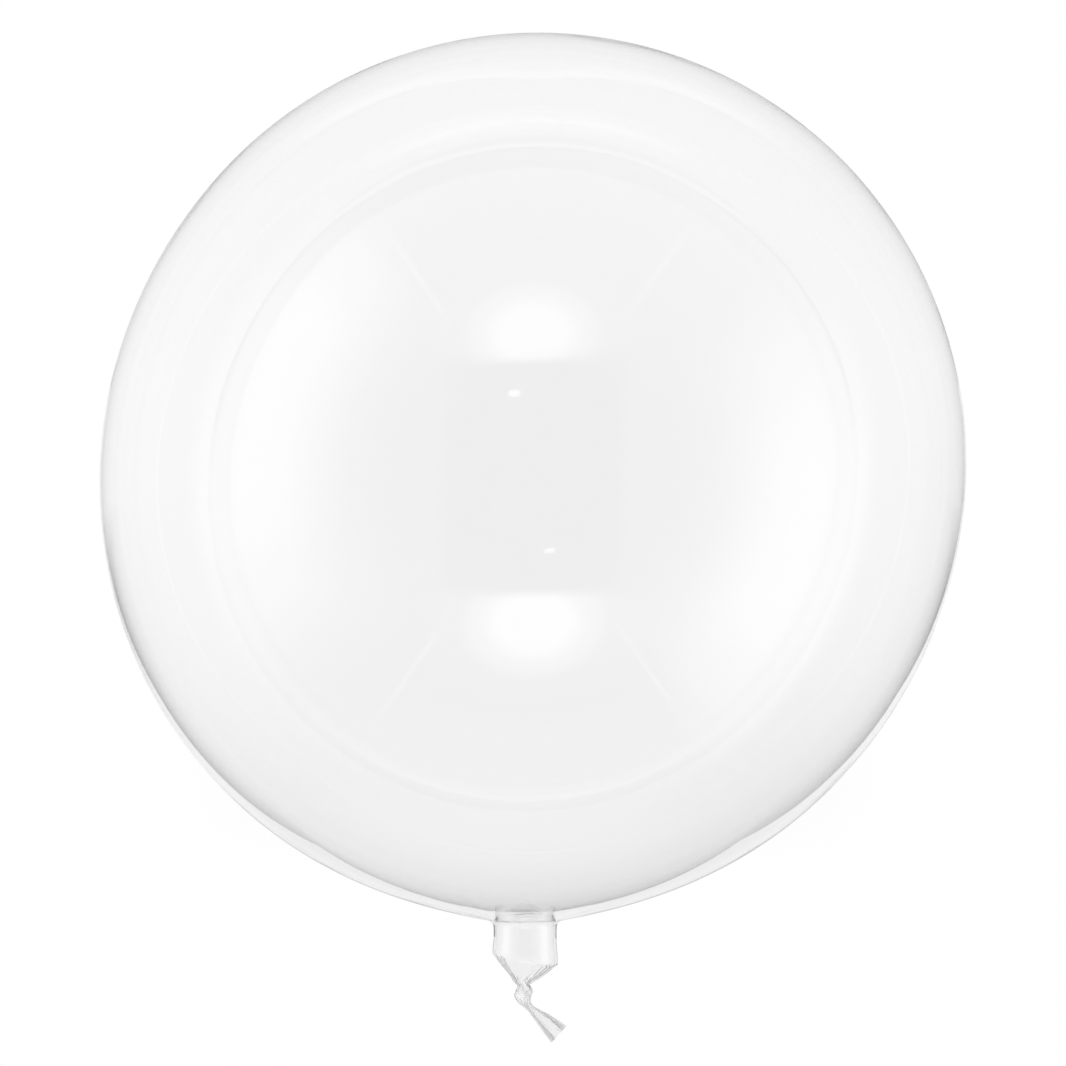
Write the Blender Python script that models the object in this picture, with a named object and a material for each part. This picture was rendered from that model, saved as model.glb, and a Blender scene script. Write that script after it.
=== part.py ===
"""Clear orb balloon of blown film, tied at the neck and lying on its side.

The ball, its neck, the gathered knot and the twisted tail are one film, so they are one closed body. The
balloon is sealed, and it is solid here. The crown points along +Y and the neck along -Y. A small flat spot
under the ball rests on z = 0, round the origin. Lengths are in metres, angles in radians, +Z is up.
"""

from math import asin, cos, pi, radians, sin, sqrt

import bmesh
import bpy
from mathutils import Vector

# The ball: round at the crown, and drawn out a little towards one side of the neck
BALL_RADIUS = 0.1975
DRAWN_OUT = 0.0133
DRAW_REACH = radians(110)
DRAW_TURN = radians(22)
REST_SPOT_RADIUS = 0.024
# The middle of the round crown stands this far from the origin, so that the weight is over the rest spot
BALL_ASIDE = 0.0022
BALL_BACK = 0.0055

# The neck: a short tube, flared where it leaves the ball, with a shoulder that sits a little askew
NECK_LEAN = radians(1.6)
NECK_RADIUS = 0.0147
NECK_LENGTH = 0.0222
FLARE_OUT = 0.0014
FLARE_LENGTH = 0.0042
SHOULDER_SWELL = 0.0004
SHOULDER_ROUND = 0.0012
SHOULDER_TILT = radians(9.7)

# The gathered film below the shoulder, down to the choke of the knot
GATHER_LENGTH = 0.0094
CHOKE_HALF_WIDTH = 0.0044
CHOKE_HALF_DEPTH = 0.0036
CHOKE_ASIDE = -0.0016

# The twisted loop of the knot, and the pinch below it
LOOP_LENGTH = 0.0116
LOOP_BULGE = 0.0014
LOOP_FLATNESS = 0.75
PINCH_HALF_WIDTH = 0.0018
PINCH_HALF_DEPTH = 0.0017
PINCH_ASIDE = 0.0019

# The loose tail, which bends to one side and fans out
TAIL_LENGTH = 0.0185
TAIL_BEND = radians(48)
TAIL_END_HALF_WIDTH = 0.0052
TAIL_END_HALF_DEPTH = 0.0022

# Pleats of the gathered film, as shares of the ring that they fold
PLEATS = 10
PLEAT_DEPTH = 0.2
KNOT_TWIST = radians(150)
TAIL_TWIST = radians(70)

# Faces round the body, and rings along each stretch of it
SIDES = 60
BALL_RINGS = 36
FLARE_RINGS = 3
NECK_RINGS = 2
SHOULDER_RINGS = 3
GATHER_RINGS = 6
LOOP_RINGS = 10
TAIL_RINGS = 7
SPOT_CUTS = 3

UP = Vector((0, 0, 1))
DRAW_WAY = Vector((-sin(DRAW_TURN), -cos(DRAW_TURN), 0))


def film_radius(way):
    """Distance from the middle of the ball to its film, in this direction."""
    turn = way.angle(DRAW_WAY)
    if turn > DRAW_REACH:
        return BALL_RADIUS
    return BALL_RADIUS + DRAWN_OUT * cos(turn / DRAW_REACH * pi / 2) ** 2


def across(lean):
    """The way from the left to the right side of a ring that is turned by this lean."""
    return Vector((cos(lean), -sin(lean), 0))


def along(lean):
    """The way that a ring with this lean faces, from the ball to the tail."""
    return Vector((-sin(lean), -cos(lean), 0))


def eased(share):
    """A share from 0 to 1 with a slow start and a slow end."""
    return share * share * (3 - 2 * share)


def between(start, end, share):
    return start + (end - start) * share


def shares(count):
    """Even steps from just after 0 up to 1."""
    return [step / count for step in range(1, count + 1)]


def round_angles():
    return [2 * pi * side / SIDES for side in range(SIDES)]


def ball_ring(middle, turn):
    """The points of the ball's film at one angle from the neck."""
    points = []
    for angle in round_angles():
        sideways = across(NECK_LEAN) * cos(angle) + UP * sin(angle)
        way = along(NECK_LEAN) * cos(turn) + sideways * sin(turn)
        points.append(middle + way * film_radius(way))
    return points


def folded_ring(middle, lean, half_width, half_depth, pleat=0.0, twist=0.0):
    """The points of an oval ring, with its edge folded into pleats that are carried round by the twist."""
    points = []
    for angle in round_angles():
        fold = 1 - pleat * (1 - cos(PLEATS * angle)) / 2
        wide = across(lean) * half_width * cos(angle + twist) * fold
        deep = UP * half_depth * sin(angle + twist) * fold
        points.append(middle + wide + deep)
    return points


def ball_rings(middle):
    """Rings from just below the crown to the root of the neck."""
    root_turn = asin((NECK_RADIUS + FLARE_OUT) / film_radius(along(NECK_LEAN)))
    return [ball_ring(middle, between(pi, root_turn, share)) for share in shares(BALL_RINGS)]


def neck_rings(root):
    """The flare, the tube and the rounded shoulder. The shoulder turns askew over the tube's length."""
    rings = []
    for share in shares(FLARE_RINGS):
        radius = NECK_RADIUS + FLARE_OUT * (1 - share) ** 2
        rings.append(folded_ring(root + along(0) * FLARE_LENGTH * share, 0, radius, radius))
    tube_length = NECK_LENGTH - FLARE_LENGTH - SHOULDER_ROUND
    for share in shares(NECK_RINGS):
        middle = root + along(0) * (FLARE_LENGTH + tube_length * share)
        radius = NECK_RADIUS + SHOULDER_SWELL * eased(share)
        rings.append(folded_ring(middle, SHOULDER_TILT * share, radius, radius))
    for share in shares(SHOULDER_RINGS):
        middle = root + along(0) * (NECK_LENGTH - SHOULDER_ROUND * cos(share * pi / 2))
        radius = NECK_RADIUS + SHOULDER_SWELL - SHOULDER_ROUND * (1 - cos(share * pi / 2))
        rings.append(folded_ring(middle, SHOULDER_TILT, radius, radius))
    return rings


def gather_rings(shoulder, choke):
    """The film drawn together in pleats, from the shoulder in to the choke."""
    shoulder_radius = NECK_RADIUS + SHOULDER_SWELL - SHOULDER_ROUND
    rings = []
    for share in shares(GATHER_RINGS):
        middle = between(shoulder, choke, share)
        half_width = between(shoulder_radius, CHOKE_HALF_WIDTH, share)
        half_depth = between(shoulder_radius, CHOKE_HALF_DEPTH, share)
        lean = between(SHOULDER_TILT, 0, share)
        rings.append(folded_ring(middle, lean, half_width, half_depth, PLEAT_DEPTH * share))
    return rings


def loop_rings(choke, pinch):
    """The twisted loop, which swells past the choke and closes to the pinch."""
    rings = []
    for share in shares(LOOP_RINGS):
        middle = between(choke, pinch, share)
        swell = LOOP_BULGE * sin(pi * share)
        half_width = between(CHOKE_HALF_WIDTH, PINCH_HALF_WIDTH, eased(share)) + swell
        half_depth = between(CHOKE_HALF_DEPTH, PINCH_HALF_DEPTH, eased(share)) + swell * LOOP_FLATNESS
        lean = between(0, -TAIL_BEND, eased(share))
        twist = KNOT_TWIST * share
        rings.append(folded_ring(middle, lean, half_width, half_depth, PLEAT_DEPTH, twist))
    return rings


def tail_rings(pinch):
    """The tail, fanning out from the pinch to its cut end."""
    end = pinch + along(-TAIL_BEND) * TAIL_LENGTH
    rings = []
    for share in shares(TAIL_RINGS):
        half_width = between(PINCH_HALF_WIDTH, TAIL_END_HALF_WIDTH, share)
        half_depth = between(PINCH_HALF_DEPTH, TAIL_END_HALF_DEPTH, share)
        twist = KNOT_TWIST + TAIL_TWIST * share
        middle = between(pinch, end, share)
        rings.append(folded_ring(middle, -TAIL_BEND, half_width, half_depth, PLEAT_DEPTH, twist))
    return rings


def skin(mesh, crown, rings, tail_end):
    """Faces from the crown's point over all the rings to the middle of the tail's cut end."""
    first = mesh.verts.new(crown)
    last = mesh.verts.new(tail_end)
    loops = [[mesh.verts.new(point) for point in ring] for ring in rings]
    for side in range(SIDES):
        beside = (side + 1) % SIDES
        mesh.faces.new((first, loops[0][side], loops[0][beside]))
        for above, below in zip(loops, loops[1:]):
            mesh.faces.new((above[side], below[side], below[beside], above[beside]))
        mesh.faces.new((last, loops[-1][beside], loops[-1][side]))


def refine_round_rest_spot(mesh, middle):
    """Divides the ball's faces near the floor and rounds them, so that the rest spot comes out round."""
    lowest = middle - UP * film_radius(-UP)
    near = [face for face in mesh.faces if (face.calc_center_median() - lowest).length < 2 * REST_SPOT_RADIUS]
    edges = list({edge for face in near for edge in face.edges})
    divided = bmesh.ops.subdivide_edges(mesh, edges=edges, cuts=SPOT_CUTS, use_grid_fill=True)
    for point in divided["geom_inner"]:
        if isinstance(point, bmesh.types.BMVert):
            way = point.co - middle
            point.co = middle + way.normalized() * film_radius(way)


def flatten_rest_spot(mesh):
    """Cuts the ball off at z = 0 and closes the cut with one flat face."""
    everything = mesh.verts[:] + mesh.edges[:] + mesh.faces[:]
    cut = bmesh.ops.bisect_plane(mesh, geom=everything, plane_co=(0, 0, 0), plane_no=-UP, clear_outer=True)
    rim = [item for item in cut["geom_cut"] if isinstance(item, bmesh.types.BMEdge)]
    bmesh.ops.edgeloop_fill(mesh, edges=rim)


def clear_film():
    """Clear, glossy stretched film."""
    material = bpy.data.materials.new("clear_film")
    material.use_nodes = True
    shader = material.node_tree.nodes["Principled BSDF"]
    shader.inputs["Base Color"].default_value = (0.93, 0.94, 0.95, 1)
    shader.inputs["Roughness"].default_value = 0.05
    shader.inputs["Metallic"].default_value = 0
    shader.inputs["IOR"].default_value = 1.5
    shader.inputs["Transmission Weight"].default_value = 1
    return material


def balloon():
    """The whole balloon as one solid, with its rest spot on z = 0."""
    height = sqrt(film_radius(-UP) ** 2 - REST_SPOT_RADIUS**2)
    middle = Vector((BALL_ASIDE, BALL_BACK, height))
    crown_way = -along(NECK_LEAN)
    crown = middle + crown_way * film_radius(crown_way)

    rings = ball_rings(middle)
    root_middle = sum(rings[-1], Vector()) / SIDES
    rings += neck_rings(root_middle)
    shoulder = root_middle + along(0) * NECK_LENGTH
    choke = shoulder + along(0) * GATHER_LENGTH + across(0) * CHOKE_ASIDE
    pinch = shoulder + along(0) * (GATHER_LENGTH + LOOP_LENGTH) + across(0) * PINCH_ASIDE
    rings += gather_rings(shoulder, choke)
    rings += loop_rings(choke, pinch)
    rings += tail_rings(pinch)
    tail_end = pinch + along(-TAIL_BEND) * TAIL_LENGTH

    mesh = bmesh.new()
    skin(mesh, crown, rings, tail_end)
    refine_round_rest_spot(mesh, middle)
    flatten_rest_spot(mesh)
    bmesh.ops.recalc_face_normals(mesh, faces=mesh.faces)
    data = bpy.data.meshes.new("balloon")
    mesh.to_mesh(data)
    mesh.free()
    data.shade_smooth()
    data.set_sharp_from_angle(angle=radians(30))
    data.materials.append(clear_film())
    film = bpy.data.objects.new("balloon", data)
    bpy.context.scene.collection.objects.link(film)


for leftover in list(bpy.data.objects):
    bpy.data.objects.remove(leftover)
balloon()
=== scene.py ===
"""Clear orb balloon, lying on its side and seen from above, with its neck at the bottom of the picture."""

from math import asin, atan2, cos, exp, pi, radians, sin, sqrt

import bpy
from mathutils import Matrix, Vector


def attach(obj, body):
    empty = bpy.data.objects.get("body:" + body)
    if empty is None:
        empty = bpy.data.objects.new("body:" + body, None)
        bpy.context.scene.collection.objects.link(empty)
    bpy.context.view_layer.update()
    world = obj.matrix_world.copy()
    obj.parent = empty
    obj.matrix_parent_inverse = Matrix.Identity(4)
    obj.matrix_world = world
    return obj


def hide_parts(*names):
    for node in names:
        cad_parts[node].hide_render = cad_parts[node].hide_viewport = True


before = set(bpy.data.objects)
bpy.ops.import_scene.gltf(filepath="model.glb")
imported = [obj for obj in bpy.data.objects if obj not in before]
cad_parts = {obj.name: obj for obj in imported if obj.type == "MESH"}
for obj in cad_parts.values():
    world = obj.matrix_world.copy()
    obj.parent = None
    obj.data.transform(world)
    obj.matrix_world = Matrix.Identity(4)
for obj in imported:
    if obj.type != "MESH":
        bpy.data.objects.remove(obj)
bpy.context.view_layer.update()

# Balloon film: the ball, its neck, the gathered knot and the twisted tail are one clear film of soft
# plastic. The ball is blown until its film is a tenth of a millimetre thin. The neck keeps its thickness,
# and is gathered into pleats and twisted shut. The air holds the ball round, and it lies on a flat spot.
MM = 0.001
BALL_RADIUS = 197.5 * MM
DRAWN_OUT = 13.3 * MM
DRAW_REACH = radians(110)
DRAW_TURN = radians(22)
REST_SPOT_RADIUS = 24 * MM
BALL_ASIDE = 2.2 * MM
BALL_BACK = 5.5 * MM
NECK_LEAN = radians(1.6)
ROOT_RADIUS = 16.1 * MM
DRAWN_DOWN = 3 * MM
DRAWN_DOWN_REACH = 24 * MM
MERGED_WITHIN = 0.01 * MM
PLEATS = 13
PLEAT_UNEVENNESS = 0.35
PUCKERS = 17
PUCKER_UNEVENNESS = 2
PUCKER_DEPTH = 0.35 * MM
PUCKER_REACH = 11 * MM
SLEEVE_RADIUS = 13.9 * MM
SLEEVE_TOP = 3.5 * MM
SLEEVE_FOOT = 2.5 * MM
SPOT_SOFTNESS = 0.3 * MM
BALL_FILM = 0.1 * MM
ROOT_FILM = 0.12 * MM
NECK_FILM = 0.6 * MM
KNOT_FILM = 0.2 * MM
TAIL_FILM = 0.07 * MM
SLEEVE_FILM = 0.12 * MM
SLEEVE_FOOT_FILM = 0.25 * MM
FILM_THINS_OVER = 4 * MM
FILM_SIDES = 200
BALL_RINGS = 116
RINGS_CROWDED_TO_NECK = 0.85
RING_STEP = 0.6 * MM
RINGS_CROWDED_TO_ROOT = 0.55
CREASE_ANGLE = radians(35)

# The neck from its root to the tail's end, as hands have left it. Each row holds how far down it is, how
# far aside its middle is, its lean, half its width, half its depth, how deep its pleats are and its twist.
# Lengths are in millimetres and angles in degrees.
NECK_COURSE = (
    (3.0, 0.0, 0, 16.3, 16.3, 0.0, 0),
    (4.2, 0.0, 0, 15.2, 15.2, 0.0, 0),
    (6.0, 0.0, 0, 14.6, 14.6, 0.0, 0),
    (12.0, 0.0, 3, 14.6, 14.6, 0.0, 0),
    (20.8, 0.0, 9.7, 15.2, 15.2, 0.0, 0),
    (22.4, -0.1, 9.7, 14.0, 14.0, 0.05, 0),
    (27.0, -0.9, 12, 9.2, 8.8, 0.15, 0),
    (31.0, -1.8, 16, 4.6, 4.0, 0.35, 10),
    (31.8, -1.8, 16, 4.3, 3.6, 0.35, 15),
    (33.6, -0.4, 5, 3.3, 2.6, 0.25, 40),
    (37.2, -0.6, -15, 4.6, 3.4, 0.15, 100),
    (42.9, 1.9, -48, 1.8, 1.7, 0.35, 150),
    (49.0, 8.6, -48, 3.6, 1.9, 0.45, 175),
    (55.6, 15.6, -48, 5.2, 2.2, 0.5, 205),
)

# How thick the film is this many millimetres down: thin at the root, thick along the neck, and pulled thin
# in the knot and the tail.
FILM_COURSE = ((3, ROOT_FILM), (4.5, ROOT_FILM), (11, NECK_FILM), (20, NECK_FILM), (28, KNOT_FILM),
               (41, KNOT_FILM), (46, TAIL_FILM), (56, TAIL_FILM))

UP = Vector((0, 0, 1))
DRAW_WAY = Vector((-sin(DRAW_TURN), -cos(DRAW_TURN), 0))
NECK_WAY = Vector((-sin(NECK_LEAN), -cos(NECK_LEAN), 0))


def film_radius(way):
    """Distance from the middle of the ball to its film, in this direction."""
    turn = way.angle(DRAW_WAY)
    if turn > DRAW_REACH:
        return BALL_RADIUS
    return BALL_RADIUS + DRAWN_OUT * cos(turn / DRAW_REACH * pi / 2) ** 2


def eased(share):
    """A share from 0 to 1 with a slow start and a slow end."""
    return share * share * (3 - 2 * share)


ball_middle = Vector((BALL_ASIDE, BALL_BACK, sqrt(film_radius(-UP) ** 2 - REST_SPOT_RADIUS**2)))
root_turn = asin(ROOT_RADIUS / film_radius(NECK_WAY))
root_middle = ball_middle + NECK_WAY * film_radius(NECK_WAY) * cos(root_turn)
neck_side = UP.cross(NECK_WAY)


def on_film(turn, angle, raised=0):
    """The point of the ball's film at this turn from the neck and this angle round it."""
    way = NECK_WAY * cos(turn) + (neck_side * cos(angle) + UP * sin(angle)) * sin(turn)
    return ball_middle + way * (film_radius(way) + raised)


# The ball starts as a sphere with its poles at the crown and the neck. Each point goes out to the blown
# shape. The rings crowd towards the neck, where the film is drawn down and puckered. What would lie below
# the floor is pressed flat.
bpy.ops.object.select_all(action="DESELECT")
bpy.ops.mesh.primitive_uv_sphere_add(segments=FILM_SIDES, ring_count=BALL_RINGS, radius=BALL_RADIUS,
                                     location=ball_middle, rotation=(pi / 2, 0, -NECK_LEAN))
film = bpy.context.object
film.name = "balloon_film"
bpy.ops.object.transform_apply(location=True, rotation=True, scale=False)
first_turn = pi / BALL_RINGS
thickness = film.vertex_groups.new(name="thickness")
cap = []
for point in film.data.vertices:
    way = (point.co - ball_middle).normalized()
    turn = way.angle(NECK_WAY)
    if turn < first_turn / 2:
        cap.append(point.index)
    share = max(turn - first_turn, 0) / (pi - first_turn)
    share = share * (1 - RINGS_CROWDED_TO_NECK) + share**2 * RINGS_CROWDED_TO_NECK
    turn = root_turn + (pi - root_turn) * share
    angle = atan2(way.z, way.dot(neck_side))
    above_root = (turn - root_turn) * BALL_RADIUS
    pucker = sin(PUCKERS * angle + PUCKER_UNEVENNESS * sin(3 * angle)) * exp(-above_root / PUCKER_REACH)
    pucker *= PUCKER_DEPTH * min(above_root / PUCKER_REACH, 1)
    drawn = DRAWN_DOWN * exp(-above_root / DRAWN_DOWN_REACH)
    point.co = on_film(turn, angle, pucker + drawn)
    point.co.z = (point.co.z + sqrt(point.co.z**2 + SPOT_SOFTNESS**2)) / 2
    film_here = BALL_FILM + (ROOT_FILM - BALL_FILM) * exp(-above_root / FILM_THINS_OVER)
    thickness.add([point.index], film_here / NECK_FILM, "REPLACE")

# The cap at the neck's pole is cut out, and leaves the hole that the neck runs down from.
bpy.ops.object.mode_set(mode="EDIT")
bpy.ops.mesh.select_mode(type="VERT")
bpy.ops.mesh.select_all(action="DESELECT")
bpy.ops.object.mode_set(mode="OBJECT")
for point in cap:
    film.data.vertices[point].select = True
bpy.ops.object.mode_set(mode="EDIT")
bpy.ops.mesh.delete(type="VERT")
bpy.ops.object.mode_set(mode="OBJECT")


def add_tube(name, middle, radius, length):
    """An open tube of film that runs from a ring towards the neck's end, its rings a step apart."""
    bpy.ops.object.select_all(action="DESELECT")
    bpy.ops.mesh.primitive_circle_add(vertices=FILM_SIDES, radius=radius, location=middle,
                                      rotation=(pi / 2, 0, 0))
    tube = bpy.context.object
    tube.name = name
    bpy.ops.object.transform_apply(location=True, rotation=True, scale=False)
    bpy.ops.object.mode_set(mode="EDIT")
    bpy.ops.mesh.select_all(action="SELECT")
    rings = round(length / RING_STEP)
    for ring in range(rings):
        bpy.ops.mesh.extrude_region_move(TRANSFORM_OT_translate={"value": (0, -length / rings, 0)})
    bpy.ops.object.mode_set(mode="OBJECT")
    return tube


def neck_state(down):
    """The neck's aside, lean, half width and depth, pleats and twist this far down, on a smooth course."""
    last = len(NECK_COURSE) - 1
    row = 1
    while row < last and down > NECK_COURSE[row][0] * MM:
        row += 1
    before, above = NECK_COURSE[max(row - 2, 0)], NECK_COURSE[row - 1]
    below, after = NECK_COURSE[row], NECK_COURSE[min(row + 1, last)]
    run = below[0] - above[0]
    share = min((down / MM - above[0]) / run, 1)
    state = []
    for earlier, start, end, later in zip(before[1:], above[1:], below[1:], after[1:]):
        slope_in = (end - earlier) / (below[0] - before[0]) * run
        slope_out = (later - start) / (after[0] - above[0]) * run
        rise = eased(share)
        state.append(start + (end - start) * rise + slope_in * share * (1 - share) ** 2
                     - slope_out * share**2 * (1 - share))
    return state


def pleated(angle, depth):
    """The share of its full size that a pleated ring has at this angle, least at the sides."""
    uneven = angle + PLEAT_UNEVENNESS * (sin(2 * angle + 1) + sin(3 * angle + 2)) / 2
    return 1 - depth * (0.5 + 0.5 * cos(angle) ** 2) * (1 - abs(sin(PLEATS * uneven / 2)))


# The neck is drawn down from the root as a straight tube, its rings crowded towards the root. Then it is
# gathered, twisted and bent over, and its first ring meets the ball's hole point by point.
neck_length = NECK_COURSE[-1][0] * MM - DRAWN_DOWN
neck = add_tube("neck", root_middle - Vector((0, DRAWN_DOWN, 0)), ROOT_RADIUS, neck_length)
thickness = neck.vertex_groups.new(name="thickness")
for point in neck.data.vertices:
    offset = point.co - root_middle
    share = (-offset.y - DRAWN_DOWN) / neck_length
    share = share * (1 - RINGS_CROWDED_TO_ROOT) + share**2 * RINGS_CROWDED_TO_ROOT
    down = DRAWN_DOWN + neck_length * share
    angle = atan2(offset.z, offset.x)
    aside, lean, half_width, half_depth, pleat, twist = neck_state(down)
    lean, twist = radians(lean), radians(twist)
    wide = half_width * MM * pleated(angle, pleat) * cos(angle + twist)
    deep = half_depth * MM * pleated(angle, pleat) * sin(angle + twist)
    point.co = root_middle + Vector((aside * MM + cos(lean) * wide, -down - sin(lean) * wide, deep))
    if down < DRAWN_DOWN + RING_STEP / 10:
        point.co = on_film(root_turn, angle, DRAWN_DOWN)
    for (above, film_above), (below, film_below) in zip(FILM_COURSE, FILM_COURSE[1:]):
        share = (down / MM - above) / (below - above)
        if -0.01 <= share <= 1:
            film_here = film_above + (film_below - film_above) * share
    thickness.add([point.index], film_here / NECK_FILM, "REPLACE")

# Inside the root, the rolled film stands a little way into the ball as a sleeve with a thick foot.
sleeve_top = root_middle + Vector((0, SLEEVE_TOP, 0))
sleeve = add_tube("sleeve", sleeve_top, SLEEVE_RADIUS, SLEEVE_TOP + SLEEVE_FOOT)
thickness = sleeve.vertex_groups.new(name="thickness")
for point in sleeve.data.vertices:
    at_foot = exp((root_middle.y - SLEEVE_FOOT - point.co.y) / RING_STEP)
    film_here = SLEEVE_FILM + (SLEEVE_FOOT_FILM - SLEEVE_FILM) * min(at_foot, 1)
    thickness.add([point.index], film_here / NECK_FILM, "REPLACE")

# Ball, neck and sleeve become one film, merged at the root, and the film gets its thickness inwards.
for part in (film, neck, sleeve):
    part.select_set(True)
bpy.context.view_layer.objects.active = film
bpy.ops.object.join()
bpy.ops.object.mode_set(mode="EDIT")
bpy.ops.mesh.select_all(action="SELECT")
bpy.ops.mesh.remove_doubles(threshold=MERGED_WITHIN)
bpy.ops.mesh.normals_make_consistent(inside=False)
bpy.ops.object.mode_set(mode="OBJECT")
wall = film.modifiers.new("wall", "SOLIDIFY")
wall.thickness = NECK_FILM
wall.offset = -1
wall.vertex_group = "thickness"
bpy.ops.object.modifier_apply(modifier=wall.name)
bpy.ops.object.shade_smooth_by_angle(angle=CREASE_ANGLE)


def linear(hex_colour):
    """The linear colour of an sRGB hex value, with full alpha."""
    shares = [int(hex_colour[place:place + 2], 16) / 255 for place in (1, 3, 5)]
    return [s / 12.92 if s <= 0.04045 else ((s + 0.055) / 1.055) ** 2.4 for s in shares] + [1]


def add_node(tree, kind, inputs=(), stops=(), **settings):
    """Adds a node with its settings and links. An input gets a value, a socket or a node's first output."""
    node = tree.nodes.new(kind)
    for name, value in settings.items():
        setattr(node, name, value)
    for _ in stops[2:]:
        node.color_ramp.elements.new(0.5)
    for number, (share, level) in enumerate(stops):
        node.color_ramp.elements[number].position = share
        node.color_ramp.elements[number].color = (level, level, level, 1)
    for place, value in inputs.items() if isinstance(inputs, dict) else enumerate(inputs):
        if isinstance(value, bpy.types.Node):
            value = value.outputs[0]
        if isinstance(value, bpy.types.NodeSocket):
            tree.links.new(value, node.inputs[place])
        else:
            node.inputs[place].default_value = value
    return node


# Clear blown film: soft plastic with a wet gloss. It is colourless where it is thin, and a trace greyer in
# the thick neck. Blowing leaves it a little uneven, in broad, shallow waves and finer ones across them.
FILM_COLOUR = "#FFFFFF"
THICK_FILM_COLOUR = "#FEFEFE"
THICK_FILM_TO = 25 * MM
THIN_FILM_FROM = 60 * MM
BROAD_WAVES = 60 * MM
FINE_WAVES = 14 * MM
FINE_WAVE_SHARE = 0.1
WAVE_HEIGHT = 0.1 * MM
FILM_ROUGHNESS = 0.02
FILM_IOR = 1.5
clear_film = bpy.data.materials.new("clear_blown_film")
clear_film.use_nodes = True
tree = clear_film.node_tree
shader = tree.nodes["Principled BSDF"]
place = add_node(tree, "ShaderNodeTexCoord").outputs["Object"]
from_root = add_node(tree, "ShaderNodeVectorMath", (place, tuple(root_middle)), operation="DISTANCE")
thin = add_node(tree, "ShaderNodeMapRange", (from_root.outputs["Value"], THICK_FILM_TO, THIN_FILM_FROM))
tint = add_node(tree, "ShaderNodeMix", {0: thin, 6: linear(THICK_FILM_COLOUR), 7: linear(FILM_COLOUR)},
                data_type="RGBA")
tree.links.new(tint.outputs[2], shader.inputs["Base Color"])
broad = add_node(tree, "ShaderNodeTexNoise", {"Vector": place, "Scale": 1 / BROAD_WAVES, "Detail": 1})
fine = add_node(tree, "ShaderNodeTexNoise", {"Vector": place, "Scale": 1 / FINE_WAVES, "Detail": 1})
waves = add_node(tree, "ShaderNodeMath", (fine, FINE_WAVE_SHARE, broad), operation="MULTIPLY_ADD")
bump = add_node(tree, "ShaderNodeBump", {"Strength": 1, "Distance": WAVE_HEIGHT, "Height": waves})
tree.links.new(bump.outputs[0], shader.inputs["Normal"])
shader.inputs["Roughness"].default_value = FILM_ROUGHNESS
shader.inputs["IOR"].default_value = FILM_IOR
shader.inputs["Transmission Weight"].default_value = 1
film.data.materials.append(clear_film)
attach(film, "root")
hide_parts("balloon")

# Floor: a plain white light table that glows evenly, so the film throws no hard shadow on it. Where it is
# seen, it is white round the balloon and falls off to a pale grey, a painted pool of light. In the film's
# reflections the white sheet under the balloon ends, and the floor round it is darker towards the neck.
# Lengths are in metres.
SHEET_MIDDLE = (0, -134 * MM, 0)
SHEET_HALF_SIZE = (252 * MM, 185 * MM, 1)
SHEET_NARROWS = 80 * MM
UNDER_BALL = 236 * MM
TABLE_MIDDLE = (0, 150 * MM, 0)
TABLE_HALF_SIZE = (770 * MM, 1020 * MM, 1)
TABLE_RIM = 30 * MM
FLOOR_DROP = 0.3 * MM
FLOOR_SIZE = 24
PAST_SHEET_COUNTS = (1, 3, 0)
FINE_RINGS = 60
TABLE_RIM_GLOW = 0.15
# How deep the painted shadow on the floor under the ball is.
SHADE = 0.04
SIDE_LIGHTS = ((-180, 1), (-172, 0.95), (-160, 0.5), (-138, 0), (-62, 0), (-45, 0.85), (-36, 1), (-3, 1),
               (15, 0.7), (42, 0), (122, 0), (135, 0.5), (148, 1), (180, 1))
SIDE_LIGHT_ON_FLOOR = 0.3
FAR_AWAY = 0.6
bpy.ops.object.select_all(action="DESELECT")
bpy.ops.mesh.primitive_plane_add(size=FLOOR_SIZE, location=(0, 0, -FLOOR_DROP))
floor = bpy.context.object
floor.name = "floor"
bpy.ops.object.transform_apply(location=True, rotation=True, scale=False)
glow = bpy.data.materials.new("white_light_table")
glow.use_nodes = True
tree = glow.node_tree
tree.nodes.clear()


def level_at(tree, value, levels, change="LINEAR"):
    """The brightness that goes with this value, through levels given as (value, brightness)."""
    low, high = levels[0][0], levels[-1][0]
    share = add_node(tree, "ShaderNodeMapRange", (value, low, high))
    stops = [((spot - low) / (high - low), level) for spot, level in levels]
    brightness = add_node(tree, "ShaderNodeValToRGB", (share,), stops)
    brightness.color_ramp.interpolation = change
    return brightness


def past_card(tree, place, middle, half_size):
    """How far a place is beyond each side of a flat card, below nought where it is on the card."""
    offset = add_node(tree, "ShaderNodeVectorMath", (place, middle), operation="SUBTRACT")
    away = add_node(tree, "ShaderNodeVectorMath", (offset,), operation="ABSOLUTE")
    return add_node(tree, "ShaderNodeVectorMath", (away, half_size), operation="SUBTRACT")


def angle_round(tree, sides):
    """The angle round the ball in degrees, from its right side and turning up in the picture."""
    angle = add_node(tree, "ShaderNodeMath", (sides.outputs[1], sides.outputs[0]), operation="ARCTAN2")
    return add_node(tree, "ShaderNodeMath", (angle,), operation="DEGREES")


def window(tree, sides, level, across, along):
    """A soft-edged window of light. Each way it starts, is full, begins to fade and ends there."""
    glow = level
    for side, (start, full, fading, end) in enumerate((across, along)):
        for near, far in ((start, full), (end, fading)):
            inputs = {0: sides.outputs[side], 1: near, 2: far, 3: 0, 4: glow}
            glow = add_node(tree, "ShaderNodeMapRange", inputs, interpolation_type="SMOOTHSTEP")
    return glow


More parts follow.
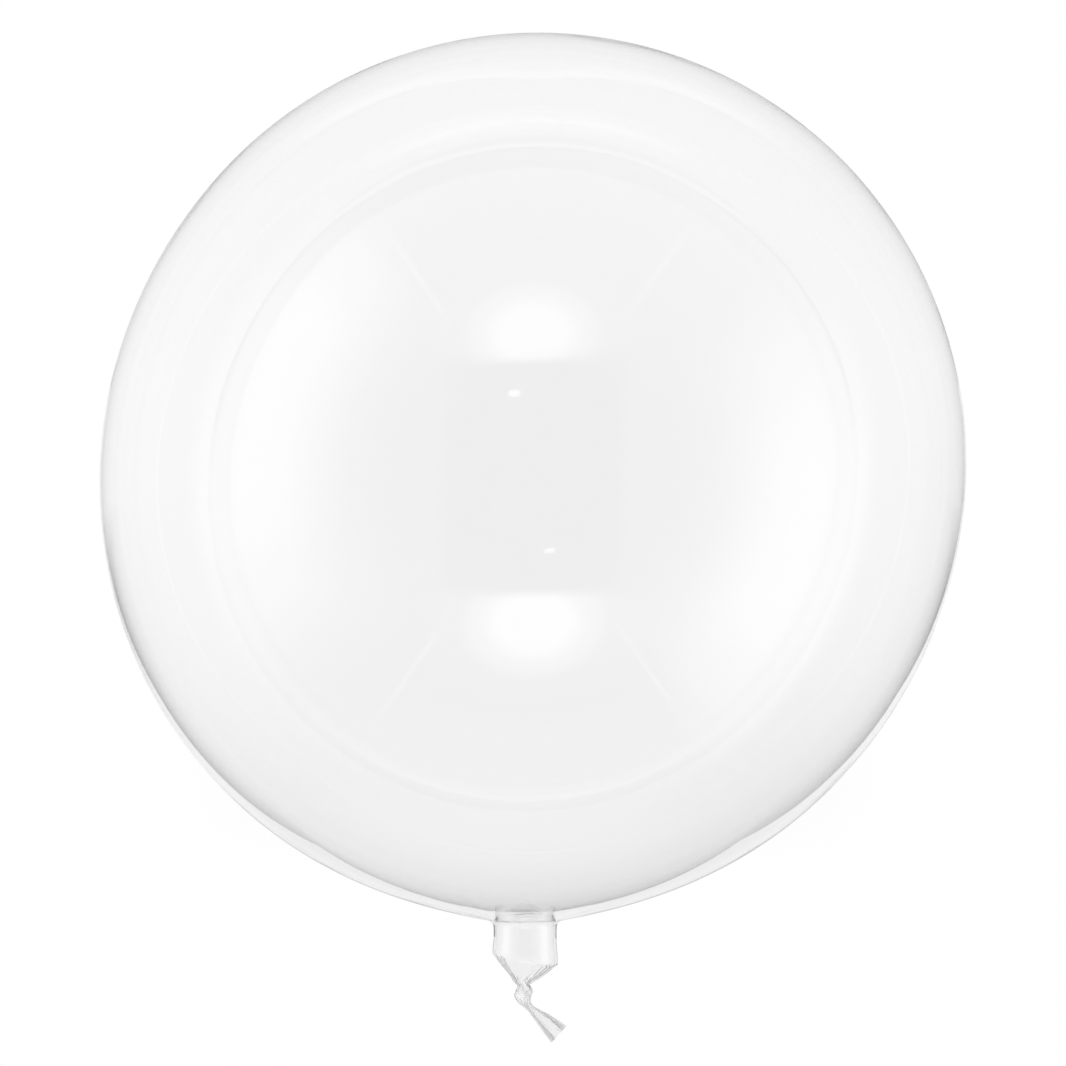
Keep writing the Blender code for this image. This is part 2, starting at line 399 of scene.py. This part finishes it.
def seen_or_reflected(tree, seen, reflected):
    """One brightness for light that comes straight or through the film, another for what it reflects."""
    path = add_node(tree, "ShaderNodeLightPath")
    bounces = path.outputs["Glossy Depth"]
    bounced = add_node(tree, "ShaderNodeMath", (bounces, 0.5), operation="GREATER_THAN")
    return add_node(tree, "ShaderNodeMix", {0: bounced, 2: seen, 3: reflected}, data_type="FLOAT")


place = add_node(tree, "ShaderNodeTexCoord").outputs["Object"]
sides = add_node(tree, "ShaderNodeSeparateXYZ", (place,))
angle = angle_round(tree, sides)
reach = add_node(tree, "ShaderNodeVectorMath", (place,), operation="LENGTH").outputs["Value"]

# The sheet is narrower towards the neck. Next to it the floor is darkest, but not beside the ball.
narrowing = add_node(tree, "ShaderNodeMapRange", (sides.outputs[1], -0.15, -0.35, 0, SHEET_NARROWS))
narrowing = add_node(tree, "ShaderNodeCombineXYZ", (narrowing,))
past_sheet = past_card(tree, place, SHEET_MIDDLE, SHEET_HALF_SIZE)
past_sheet = add_node(tree, "ShaderNodeVectorMath", (past_sheet, narrowing), operation="ADD")
past_sheet = add_node(tree, "ShaderNodeVectorMath", (past_sheet, (0, 0, 0)), operation="MAXIMUM")
past_sheet = add_node(tree, "ShaderNodeVectorMath", (past_sheet, PAST_SHEET_COUNTS), operation="MULTIPLY")
past_sheet = add_node(tree, "ShaderNodeVectorMath", (past_sheet,), operation="LENGTH").outputs["Value"]
past_ball = add_node(tree, "ShaderNodeMath", (reach, UNDER_BALL), operation="SUBTRACT")
off_sheet = add_node(tree, "ShaderNodeMath", (past_sheet, past_ball), operation="MINIMUM")
off_sheet = level_at(tree, off_sheet, ((0, 0), (6 * MM, 1)))
on_sheet = level_at(tree, reach, ((0.24, 0.95), (0.3, 0.87), (0.32, 0.8), (0.36, 0.72)))
near_sheet = level_at(tree, past_sheet, ((0, 0.3), (0.012, 0.38), (0.025, 0.5), (0.045, 0.64),
                                         (0.07, 0.78), (0.1, 0.9), (0.15, 1)))
off_neck = level_at(tree, sides.outputs[1], ((-0.12, 0), (-0.02, 1)))
near_sheet = add_node(tree, "ShaderNodeMath", (near_sheet, off_neck), operation="MAXIMUM")
on_table = level_at(tree, angle, ((-180, 0.85), (-150, 0.68), (-120, 0.5), (-90, 0.36), (-65, 0.34),
                                  (-45, 0.44), (-15, 0.66), (15, 0.81), (45, 0.79), (135, 0.82),
                                  (165, 0.88), (180, 0.85)))
dimmer = level_at(tree, reach, ((0.24, 0.8), (0.285, 0.87), (0.33, 0.95), (0.4, 1), (0.6, 0.94),
                                (0.9, 0.82), (1.5, 0.72)))
on_table = add_node(tree, "ShaderNodeMath", (on_table, near_sheet), operation="MULTIPLY")
on_table = add_node(tree, "ShaderNodeMath", (on_table, dimmer), operation="MULTIPLY")

# The table is faintly uneven in rings, which shows as fine lines along the rim of the ball.
rings = add_node(tree, "ShaderNodeTexNoise", {"W": reach, "Scale": FINE_RINGS, "Detail": 2},
                 noise_dimensions="1D")
rings = add_node(tree, "ShaderNodeMapRange", (rings.outputs[0], 0.3, 0.7, 0.96, 1.04))
on_table = add_node(tree, "ShaderNodeMath", (on_table, rings), operation="MULTIPLY")

# Far off the floor meets the tent, with the two side lights over it. The table has a thin pale rim.
lights = level_at(tree, angle, SIDE_LIGHTS, "EASE")
far_level = level_at(tree, angle, ((-180, FAR_AWAY), (-135, 0.5), (-110, 0.32), (-70, 0.32), (-45, 0.5),
                                   (0, FAR_AWAY), (35, 0.4), (60, 0.5), (120, 0.5), (145, 0.4),
                                   (180, FAR_AWAY)))
far_level = add_node(tree, "ShaderNodeMath", (lights, SIDE_LIGHT_ON_FLOOR, far_level),
                     operation="MULTIPLY_ADD")
far = add_node(tree, "ShaderNodeMapRange", (reach, 1.3, 3.5), interpolation_type="SMOOTHSTEP")
around = add_node(tree, "ShaderNodeMix", {0: far, 2: on_table, 3: far_level}, data_type="FLOAT")
past_table = past_card(tree, place, TABLE_MIDDLE, TABLE_HALF_SIZE)
past_table = add_node(tree, "ShaderNodeSeparateXYZ", (past_table,))
past_table = add_node(tree, "ShaderNodeMath", (past_table.outputs[0], past_table.outputs[1]),
                      operation="MAXIMUM")
on_rim = add_node(tree, "ShaderNodeMath", (past_table, TABLE_RIM / 2, TABLE_RIM / 2), operation="COMPARE")
around = add_node(tree, "ShaderNodeMath", (on_rim, TABLE_RIM_GLOW, around), operation="MULTIPLY_ADD")

# Two pale bands cross the table beyond the crown, each with a crisp far edge. The near one is bowed.
bow = add_node(tree, "ShaderNodeMath", (sides.outputs[0],), operation="ABSOLUTE")
bow = add_node(tree, "ShaderNodeMath", (bow, 0.8, sides.outputs[1]), operation="MULTIPLY_ADD")
bow = add_node(tree, "ShaderNodeCombineXYZ", (sides.outputs[0], bow))
bow = add_node(tree, "ShaderNodeSeparateXYZ", (bow,))
bands = (
    window(tree, bow, 0.15, (-0.33, -0.2, 0.2, 0.33), (0.5, 0.64, 0.66, 0.67)),
    window(tree, sides, 0.16, (-1.1, -0.5, 0.5, 1.0), (1.3, 1.8, 1.9, 1.95)),
)
for band in bands:
    around = add_node(tree, "ShaderNodeMath", (around, band), operation="ADD")
reflected = add_node(tree, "ShaderNodeMix", {0: off_sheet, 2: on_sheet, 3: around}, data_type="FLOAT")

# Past the ball the sheet is darker round the neck in the film's reflections, a painted shade which gives
# the neck's thick film its dark edges.
by_ball = level_at(tree, reach, ((0, 0), (0.246, 0), (0.256, 1), (0.3, 1)))
by_neck = level_at(tree, sides.outputs[1], ((-0.3, 0.7), (-0.19, 0.7), (-0.16, 1), (0, 1)))
by_neck = add_node(tree, "ShaderNodeMath", (by_ball, by_neck), operation="MAXIMUM")
reflected = add_node(tree, "ShaderNodeMath", (reflected, by_neck), operation="MULTIPLY")

# As seen, the floor is a painted pool of light, white round the ball and falling off to grey, with a faint,
# soft painted shadow under the half of the ball next to the neck.
seen = level_at(tree, reach, ((0, 1), (0.42, 1), (1.2, 0.72), (6, 0.6)))
shade = window(tree, sides, SHADE, (-0.19, -0.1, 0.1, 0.19), (-0.2, -0.15, -0.12, -0.05))
seen = add_node(tree, "ShaderNodeMath", (seen, shade), operation="SUBTRACT")
light = add_node(tree, "ShaderNodeEmission", {"Strength": seen_or_reflected(tree, seen, reflected)})
add_node(tree, "ShaderNodeOutputMaterial", {"Surface": light})
glow.cycles.emission_sampling = "NONE"
floor.data.materials.append(glow)

# Studio: a pale backdrop where it is seen, and a white tent where the film reflects it. The tent has a
# dark opening over the lens, a bright key light next to it and two tall, soft side lights.
BACKDROP = 0.6
SIDE_LIGHT = 0.6
KEY_LIGHT = 1.85
KEY_MIDDLE = (0.01, -0.32, 0)
KEY_SPREAD = (1 / 0.18, 1 / 0.13, 0)
OPENING = 0.13
SEAM_GLOW = 0.22
GLINT = 2.2
SEAM_START = (0.2, 0.33, 0)
SEAM_ALONG = (0.588, 0.809, 0)
SEAM_ACROSS = (0.809, -0.588, 0)
studio = bpy.data.worlds.new("studio")
bpy.context.scene.world = studio
studio.use_nodes = True
tree = studio.node_tree
tree.nodes.clear()

# A direction gets the place where a mirror ball that is seen from above shows it, from 0 for straight up
# through 0.71 for level to 1 for straight down, so the lights are placed as they show on the ball.
way = add_node(tree, "ShaderNodeTexCoord").outputs["Generated"]
halfway = add_node(tree, "ShaderNodeVectorMath", (way, (0, 0, 1)), operation="ADD")
spot = add_node(tree, "ShaderNodeVectorMath", (halfway,), operation="NORMALIZE")
spot = add_node(tree, "ShaderNodeVectorMath", (spot, (1, 1, 0)), operation="MULTIPLY")
from_top = add_node(tree, "ShaderNodeVectorMath", (spot,), operation="LENGTH").outputs["Value"]
sides = add_node(tree, "ShaderNodeSeparateXYZ", (spot,))

# The tent is darkest over the lens and brightens down to the floor.
tent = level_at(tree, from_top, ((0, 0.17), (0.2, 0.17), (0.3, 0.24), (0.4, 0.32), (0.5, 0.43),
                                 (0.6, 0.57), (0.7, 0.72), (0.8, 0.72)))
opening = window(tree, sides, OPENING, (-0.206, -0.2, 0.2, 0.206), (-0.256, -0.25, 0.25, 0.256))
total = add_node(tree, "ShaderNodeMath", (tent, opening), operation="SUBTRACT")

# The side lights stand on the floor, and fade towards the top.
lights = level_at(tree, angle_round(tree, sides), SIDE_LIGHTS, "EASE")
lit = level_at(tree, from_top, ((0.38, 0), (0.43, 0.12), (0.55, 0.9), (0.6, 1), (0.66, 1), (0.71, 0.66)))
lights = add_node(tree, "ShaderNodeMath", (lights, lit), operation="MULTIPLY")
lights = add_node(tree, "ShaderNodeMath", (lights, SIDE_LIGHT), operation="MULTIPLY")
total = add_node(tree, "ShaderNodeMath", (total, lights), operation="ADD")

# The key light is a soft oval with a crisp edge on the opening's side.
from_key = add_node(tree, "ShaderNodeVectorMath", (spot, KEY_MIDDLE), operation="SUBTRACT")
from_key = add_node(tree, "ShaderNodeVectorMath", (from_key, KEY_SPREAD), operation="MULTIPLY")
from_key = add_node(tree, "ShaderNodeVectorMath", (from_key,), operation="LENGTH").outputs["Value"]
key = level_at(tree, from_key, ((0, 1), (0.4, 1), (0.75, 0.45), (1, 0.1), (1.6, 0)), "EASE")
key = add_node(tree, "ShaderNodeMath", (key, KEY_LIGHT), operation="MULTIPLY")
key = add_node(tree, "ShaderNodeMapRange", {0: sides.outputs[1], 1: -0.25, 2: -0.27, 3: 0, 4: key})
total = add_node(tree, "ShaderNodeMath", (total, key), operation="ADD")

# Thin seams of the tent run outwards from the opening's corners, and a small lamp glints beside the lens.
corner = add_node(tree, "ShaderNodeVectorMath", (spot,), operation="ABSOLUTE")
corner = add_node(tree, "ShaderNodeVectorMath", (corner, SEAM_START), operation="SUBTRACT")
off_seam = add_node(tree, "ShaderNodeVectorMath", (corner, SEAM_ACROSS), operation="DOT_PRODUCT")
on_seam = add_node(tree, "ShaderNodeVectorMath", (corner, SEAM_ALONG), operation="DOT_PRODUCT")
seam = add_node(tree, "ShaderNodeCombineXYZ", (off_seam.outputs["Value"], on_seam.outputs["Value"]))
seam = add_node(tree, "ShaderNodeSeparateXYZ", (seam,))
seam = window(tree, seam, SEAM_GLOW, (-0.009, -0.002, 0.002, 0.009), (0, 0.03, 0.16, 0.3))
total = add_node(tree, "ShaderNodeMath", (total, seam), operation="ADD")
glint = window(tree, sides, GLINT, (-0.06, -0.052, -0.036, -0.028), (0.156, 0.163, 0.169, 0.176))
total = add_node(tree, "ShaderNodeMath", (total, glint), operation="ADD")

light = add_node(tree, "ShaderNodeBackground", {"Strength": seen_or_reflected(tree, BACKDROP, total)})
add_node(tree, "ShaderNodeOutputWorld", {"Surface": light})
studio.cycles.sampling_method = "NONE"

# Camera: straight above the balloon, at the distance that the photograph's perspective gives.
PHOTO_SIDE = 1066
MM_PER_PX = 0.462 * MM
CAMERA_DISTANCE = 2.6
PICTURE_MIDDLE = -27.5 * MM
camera = bpy.data.objects.new("camera", bpy.data.cameras.new("camera"))
bpy.context.scene.collection.objects.link(camera)
camera.location = (0, PICTURE_MIDDLE, ball_middle.z + CAMERA_DISTANCE)
camera.data.sensor_width = 36
camera.data.lens = camera.data.sensor_width * CAMERA_DISTANCE / (PHOTO_SIDE * MM_PER_PX)
bpy.context.scene.camera = camera
bpy.context.scene.view_settings.view_transform = "Standard"
bpy.context.scene.cycles.max_bounces = 24
bpy.context.scene.cycles.transmission_bounces = 24
bpy.context.scene.cycles.glossy_bounces = 12
